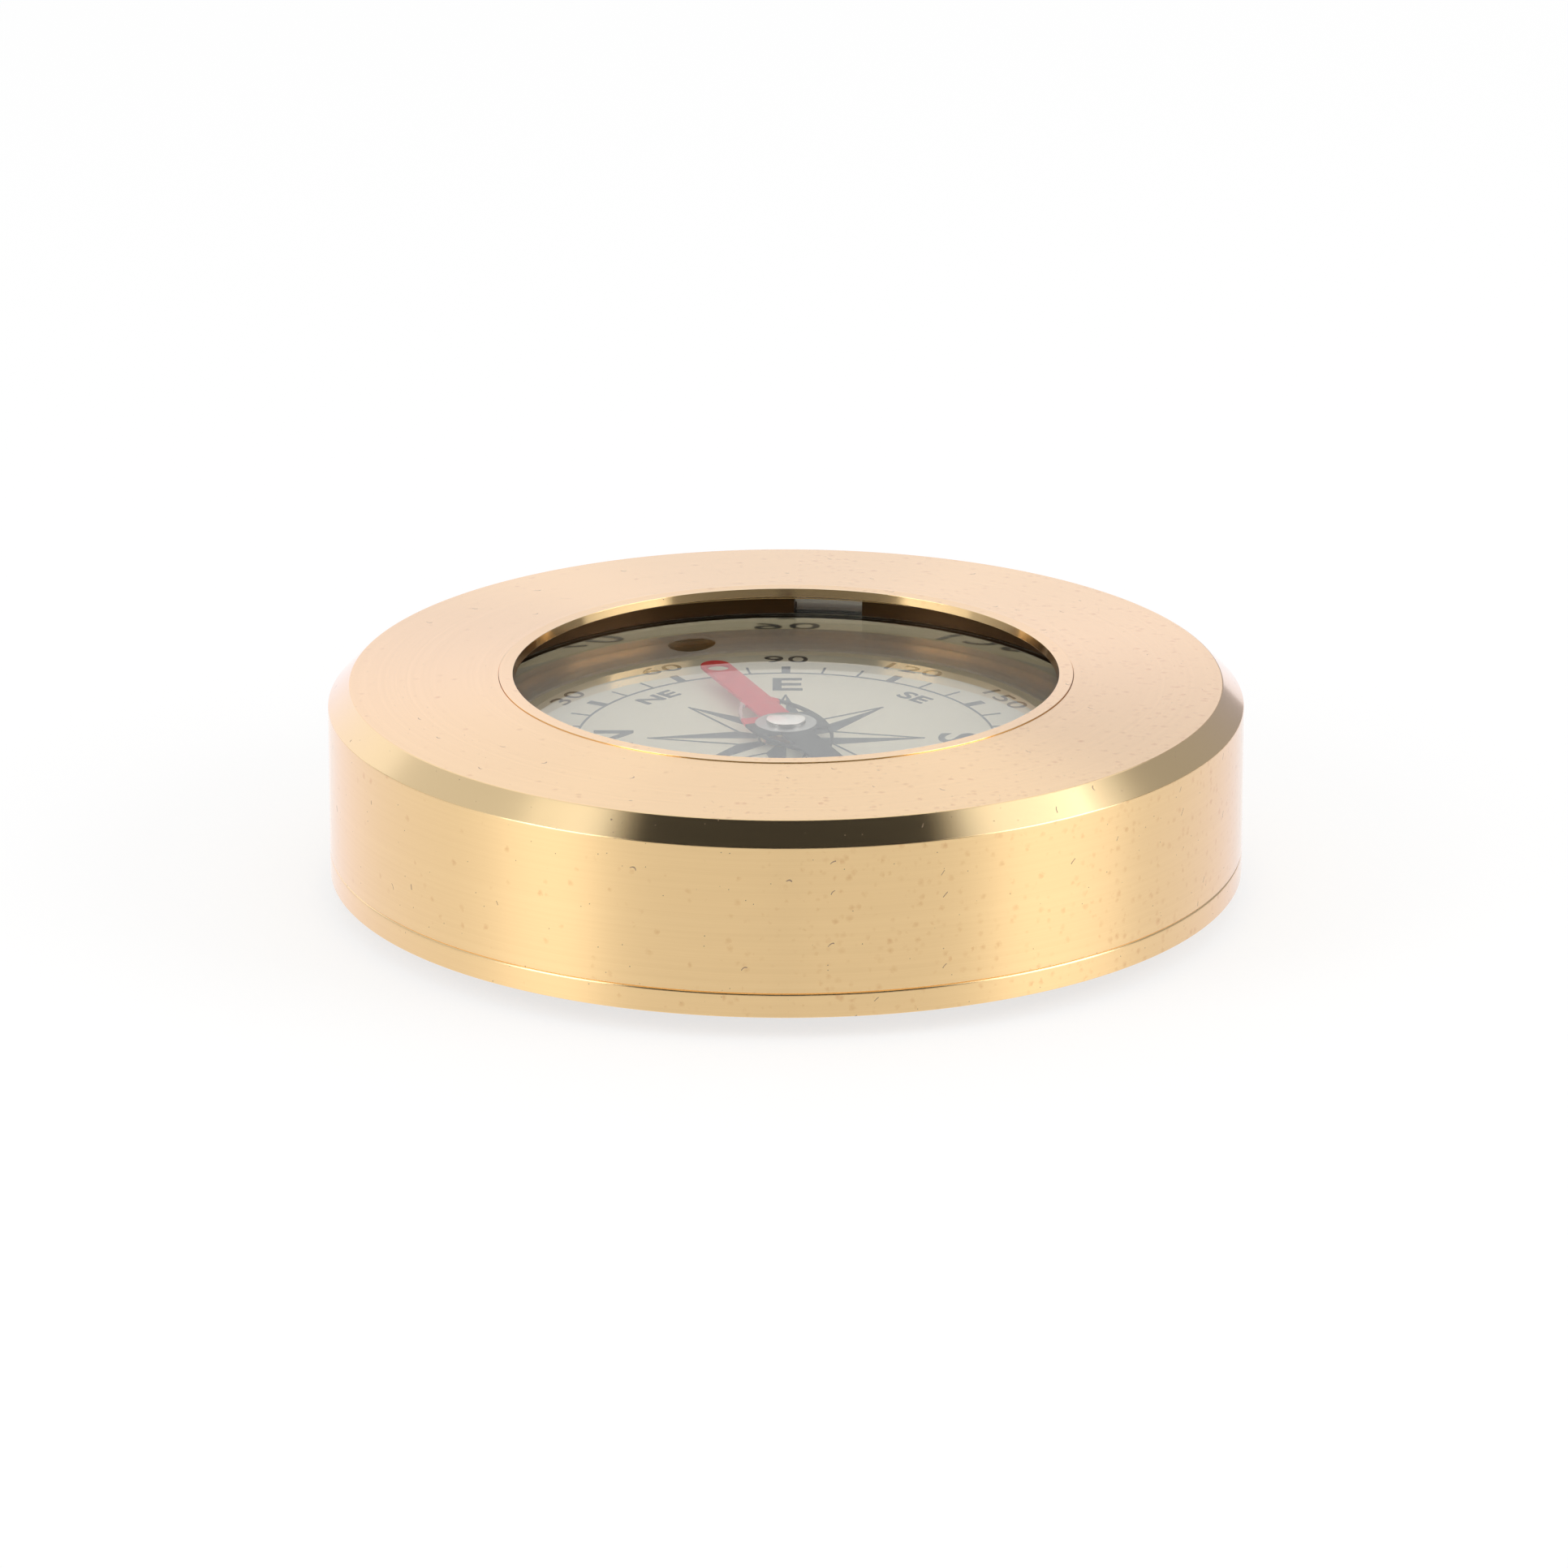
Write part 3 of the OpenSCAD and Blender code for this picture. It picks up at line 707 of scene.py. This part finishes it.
def mirror_rays(tree, seen):
    """1 for what the camera sees in metal or through glass, 0 for light on a matt surface."""
    mirrored = maths(tree, "ADD", seen["Is Glossy Ray"], seen["Is Transmission Ray"], clamp=True)
    return product(tree, mirrored, maths(tree, "LESS_THAN", seen["Diffuse Depth"], NO_BOUNCE))


def studio_floor():
    """A pale floor that turns plain white away from the shadow, and is clear from below."""
    nothing_selected()
    bpy.ops.mesh.primitive_circle_add(vertices=FLOOR_SIDES, radius=FLOOR_R, fill_type="NGON",
                                      location=(0, 0, -FLOOR_DROP))
    floor = bpy.context.active_object
    floor.name = floor.data.name = "studio_floor"
    material, tree, shader = new_material("studio_floor")
    values_by_name(tree, shader, dict(Base_Color=FLOOR_GREY, Roughness=0.9, Specular_IOR_Level=0.0))
    seen = add(tree, "LightPath").outputs
    white = add(tree, "Emission", Color=(1, 1, 1), Strength=1.0).outputs[0]
    share = maths(tree, "ADD", product(tree, seen["Is Camera Ray"], FLOOR_SEEN),
                  product(tree, mirror_rays(tree, seen), FLOOR_MIRRORED))
    shown = mix_shaders(tree, share, shader.outputs[0], white)
    below = add(tree, "NewGeometry").outputs["Backfacing"]
    shown = mix_shaders(tree, below, shown, add(tree, "BsdfTransparent").outputs[0])
    tree.links.new(shown, tree.nodes["Material Output"].inputs["Surface"])
    finish(floor, material)


def surround(tree):
    """What metal and glass see: mostly white, dark above the camera and grey at the far right."""
    x, y, z = axes(tree, add(tree, "TexCoord").outputs["Generated"])
    around = maths(tree, "ARCTAN2", x, product(tree, y, -1.0))
    away = maths(tree, "ABSOLUTE", around)
    up = maths(tree, "MAXIMUM", z, LEAST_HEIGHT)
    grey = product(tree, band(tree, around, *GREY_ARC, ARC_SOFT), fade(tree, z, *GREY_TOP))
    dim = band(tree, around, *DIM_ARC, ARC_SOFT)
    bright = without(tree, product(tree, grey, 1 - GREY_SIDE))
    bright = maths(tree, "SUBTRACT", bright, product(tree, dim, 1 - DIM_SIDE))
    front = product(tree, remap(tree, z, *FRONT_FOOT), fade(tree, away, *FRONT_EDGE))
    card = product(tree, fade(tree, maths(tree, "ABSOLUTE", maths(tree, "DIVIDE", x, up)), *CARD_SIDE),
                   fade(tree, maths(tree, "DIVIDE", y, up), *CARD_BACK))
    low = product(tree, band(tree, away, *LOW_ARC, LOW_ARC_SOFT),
                  remap(tree, z, *LOW_TOP, LOW_SHADE, 0.0))
    dark = maths(tree, "MAXIMUM", front, maths(tree, "MAXIMUM", card, low))
    return maths(tree, "MAXIMUM", remap(tree, z, *GLOW_TOP, FRONT_GLOW, DARK_SIDE),
                 product(tree, bright, without(tree, dark)))


def studio_world():
    """Plain white for the camera, the surround for metal and glass, and an even fill as a light."""
    world = bpy.data.worlds.new("studio")
    bpy.context.scene.world = world
    world.use_nodes = True
    tree = world.node_tree
    seen = add(tree, "LightPath").outputs
    mirrored = mirror_rays(tree, seen)
    plain = remap(tree, seen["Is Camera Ray"], 0.0, 1.0, FILL, 1.0)
    shown = maths(tree, "ADD", product(tree, mirrored, surround(tree)),
                  product(tree, without(tree, mirrored), plain))
    values_by_name(tree, tree.nodes["Background"], dict(Color=(1, 1, 1), Strength=shown))


def softbox(name, side, height, size, power):
    """A soft lamp that faces the compass, this many degrees round from the camera and up."""
    side, height = math.radians(side), math.radians(height)
    place = SOFTBOX_AWAY * Vector((math.cos(height) * math.sin(side),
                                   -math.cos(height) * math.cos(side), math.sin(height)))
    lamp = bpy.data.lights.new(name, "AREA")
    lamp.shape = "RECTANGLE"
    lamp.size, lamp.size_y = size
    lamp.energy = power
    holder = bpy.data.objects.new(name, lamp)
    bpy.context.scene.collection.objects.link(holder)
    holder.location = place
    holder.rotation_euler = (-place).to_track_quat("-Z", "Y").to_euler()


def camera():
    """The camera of the photograph."""
    data = bpy.data.cameras.new("photo_camera")
    data.sensor_width = SENSOR_WIDTH
    data.lens = FOCAL_PIXELS / PHOTO_WIDTH * SENSOR_WIDTH
    data.shift_x = (PHOTO_WIDTH / 2 - AXIS_PIXEL) / PHOTO_WIDTH
    holder = bpy.data.objects.new("photo_camera", data)
    bpy.context.scene.collection.objects.link(holder)
    holder.location = (0, -CAMERA_BACK, CAMERA_HEIGHT)
    holder.rotation_euler = (math.pi / 2 - CAMERA_PITCH, 0, 0)
    bpy.context.scene.camera = holder


def studio():
    """Floor, surround and two softboxes."""
    bpy.context.scene.view_settings.view_transform = "Standard"
    studio_floor()
    studio_world()
    for name, values in SOFTBOXES.items():
        softbox(name, *values)


# The pieces

def case_piece(brass):
    """Turned case: side wall, chamfer and conical top face."""
    low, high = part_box("case_body")
    body_r, seam_z, top_z = high.x, low.z, high.z
    edge_z = top_z - TOP_FALL
    bezel_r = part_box("window_bezel")[1].x
    bore_r = body_r - CASE_WALL
    thread_r = body_r - THREAD_WALL
    lip_r = bezel_r - BEZEL_WIDTH + LIP_WIDTH
    flange_z = top_z - TOP_WALL
    outline = [
        (thread_r, seam_z), (body_r, seam_z), (body_r, edge_z - EDGE_CHAMFER),
        (body_r - EDGE_CHAMFER, edge_z), (lip_r + LIP_GAP, top_z), (lip_r + LIP_GAP, flange_z),
        (bore_r, flange_z), (bore_r, seam_z + THREAD_ROOM), (thread_r, seam_z + THREAD_ROOM)]
    piece = turned("turned_case", outline, EDGE_BREAK, hollow=True)
    settle(piece, brass, CASE, "case_brass", "case_body")


def bezel_piece(brass):
    """Bezel with its lip, and hollowed out behind its mouth."""
    low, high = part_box("window_bezel")
    cup_r, rim_z, lip_z = high.x, low.z, high.z
    window_r = cup_r - BEZEL_WIDTH
    lip_r = window_r + LIP_WIDTH
    hollow_r = cup_r - BEZEL_RIM
    flange_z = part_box("case_body")[1].z - TOP_WALL
    web_z = flange_z - BEZEL_WEB
    outline = [
        (cup_r, rim_z), (cup_r, flange_z), (lip_r, flange_z), (lip_r, lip_z), (window_r, lip_z),
        (window_r - MOUTH_TAPER, lip_z - MOUTH_HEIGHT), (lip_r, web_z), (hollow_r, web_z),
        (hollow_r, rim_z)]
    piece = turned("turned_bezel", outline, BEZEL_BREAK, hollow=True)
    settle(piece, brass, CASE, "bezel_brass", "window_bezel")


def base_piece(brass):
    """Base with its rim and its spigot."""
    low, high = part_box("base_plate")
    seam_z = low.z + BASE_RIM
    spigot_r = high.x - THREAD_WALL - THREAD_GAP
    outline = [
        (high.x, low.z), (high.x, seam_z - SEAM_CHAMFER), (high.x - SEAM_CHAMFER, seam_z),
        (spigot_r, seam_z), (spigot_r, high.z)]
    piece = turned("turned_base", outline, EDGE_BREAK)
    settle(piece, brass, CASE, "base_brass", "base_plate")


def pad_piece(rubber):
    """Anti-slip pad with softened edges."""
    low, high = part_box("base_pad")
    piece = turned("rubber_pad", [(high.x, low.z), (high.x, high.z)], PAD_BREAK)
    settle(piece, rubber, CASE, "pad_rubber", "base_pad")


def liner_piece(nickel):
    """Polished liner that mirrors the dial."""
    low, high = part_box("wall_liner")
    wall_r = high.x - LINER_WALL
    outline = [(wall_r, low.z), (high.x, low.z), (high.x, high.z), (wall_r, high.z)]
    piece = turned("polished_liner", outline, LINER_BREAK, hollow=True)
    settle(piece, nickel, CASE, "liner_nickel", "wall_liner")


def glass_piece(glass):
    """Flat glass with rounded edges."""
    low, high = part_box("window_glass")
    piece = turned("flat_glass", [(high.x, low.z), (high.x, high.z)], GLASS_BREAK)
    settle(piece, glass, CASE, "window_glass", "window_glass")


def cap_piece(nickel):
    """Bright stepped cap of the needle."""
    low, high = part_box("needle_cap")
    blade_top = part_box("needle_blade")[1].z
    neck_r = CAP_NECK_SHARE * CROWN_R
    flange_z = blade_top + FLANGE_EDGE
    dome_z = high.z - DOME_RISE
    dome = [(CROWN_R * share, dome_z + DOME_RISE * (1 - share * share)) for share in DOME_SHARES]
    outline = [
        (neck_r, low.z), (neck_r, blade_top), (high.x, blade_top), (high.x, flange_z),
        (CROWN_R + FLANGE_EDGE, flange_z + FLANGE_RISE), (CROWN_R, flange_z + FLANGE_RISE), *dome]
    piece = turned("bright_cap", outline, CAP_BREAK)
    settle(piece, nickel, NEEDLE, "cap_nickel", "needle_cap")


def blade_piece(paint):
    """The needle's blade, with its stamped edges rounded under the paint."""
    blade = bpy.data.objects.new("painted_blade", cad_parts["needle_blade"].data.copy())
    bpy.context.scene.collection.objects.link(blade)
    select_only(blade)
    bpy.ops.object.mode_set(mode="EDIT")
    bpy.ops.mesh.select_all(action="SELECT")
    bpy.ops.mesh.remove_doubles(threshold=WELD)
    bpy.ops.mesh.dissolve_limited(angle_limit=FLAT_ANGLE)
    bpy.ops.object.mode_set(mode="OBJECT")
    break_edges(blade, BLADE_BREAK, BLADE_STEPS, BLADE_CORNER, BLADE_FACET)
    settle(blade, paint, NEEDLE, "needle_paint", "needle_blade")


def printed(words, bearing, radius, height, wide, bold=0.0, spread=1.0):
    """One word of the dial's print, with its top outwards. The dial's N lies towards -X."""
    nothing_selected()
    bpy.ops.object.text_add()
    text = bpy.context.active_object
    text.data.body = words
    text.data.align_x = "CENTER"
    text.data.size = height / CAP_HEIGHT_SHARE
    text.data.offset = bold
    text.data.space_character = spread
    text.data.extrude = INK_HEIGHT / 2
    text.data.resolution_u = FONT_STEPS
    bpy.ops.object.convert(target="MESH")
    text = bpy.context.active_object
    turn = math.pi / 2 - math.radians(bearing)
    dial_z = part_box("dial_card")[1].z
    out = radius - height / 2
    text.scale = (wide, 1, 1)
    text.rotation_euler = (0, 0, turn)
    text.location = (-out * math.sin(turn), out * math.cos(turn), dial_z + INK_HEIGHT / 2)
    bpy.ops.object.transform_apply(location=True, rotation=True, scale=True)
    return text


def dial_figures(ink):
    """The numbers and letters of the dial."""
    words = [printed(str(bearing), bearing, **NUMBERS) for bearing in range(0, 360, NUMBER_STEP)]
    words += [printed(letter, 90 * i, **LETTERS) for i, letter in enumerate("NESW")]
    words += [printed(letters, 45 + 90 * i, **SMALL_LETTERS)
              for i, letters in enumerate(("NE", "SE", "SW", "NW"))]
    select_only(*words)
    bpy.ops.object.join()
    piece = bpy.context.active_object
    piece.name = piece.data.name = "dial_figures"
    settle(piece, ink, CASE, "dial_ink")


def compass():
    """All pieces of the compass, with their finishes."""
    lines = turning_lines_group()
    effects = {"lines": lines, "dust": dust_group(), "tarnish": tarnish_group()}
    finishes = {name: plain_metal(name, lines, *values) for name, values in PLAIN_METALS.items()}
    finishes.update({name: grained(name, *values) for name, values in GRAINED.items()})
    case_piece(turned_brass("case_brass", effects))
    bezel_piece(turned_brass("bezel_brass", effects, BEZEL_ROUGH, BEZEL_ROUGH))
    base_piece(turned_brass("base_brass", effects))
    pad_piece(finishes["pad_rubber"])
    liner_piece(liner_metal(lines))
    glass_piece(clear_glass())
    cap_piece(cap_metal(lines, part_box("needle_cap")[1].z - DOME_RISE))
    blade_piece(needle_paint())
    dial_figures(finishes["dial_ink"])
    for node, name in NODE_FINISHES.items():
        finish(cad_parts[node], finishes[name])


camera()
studio()
compass()
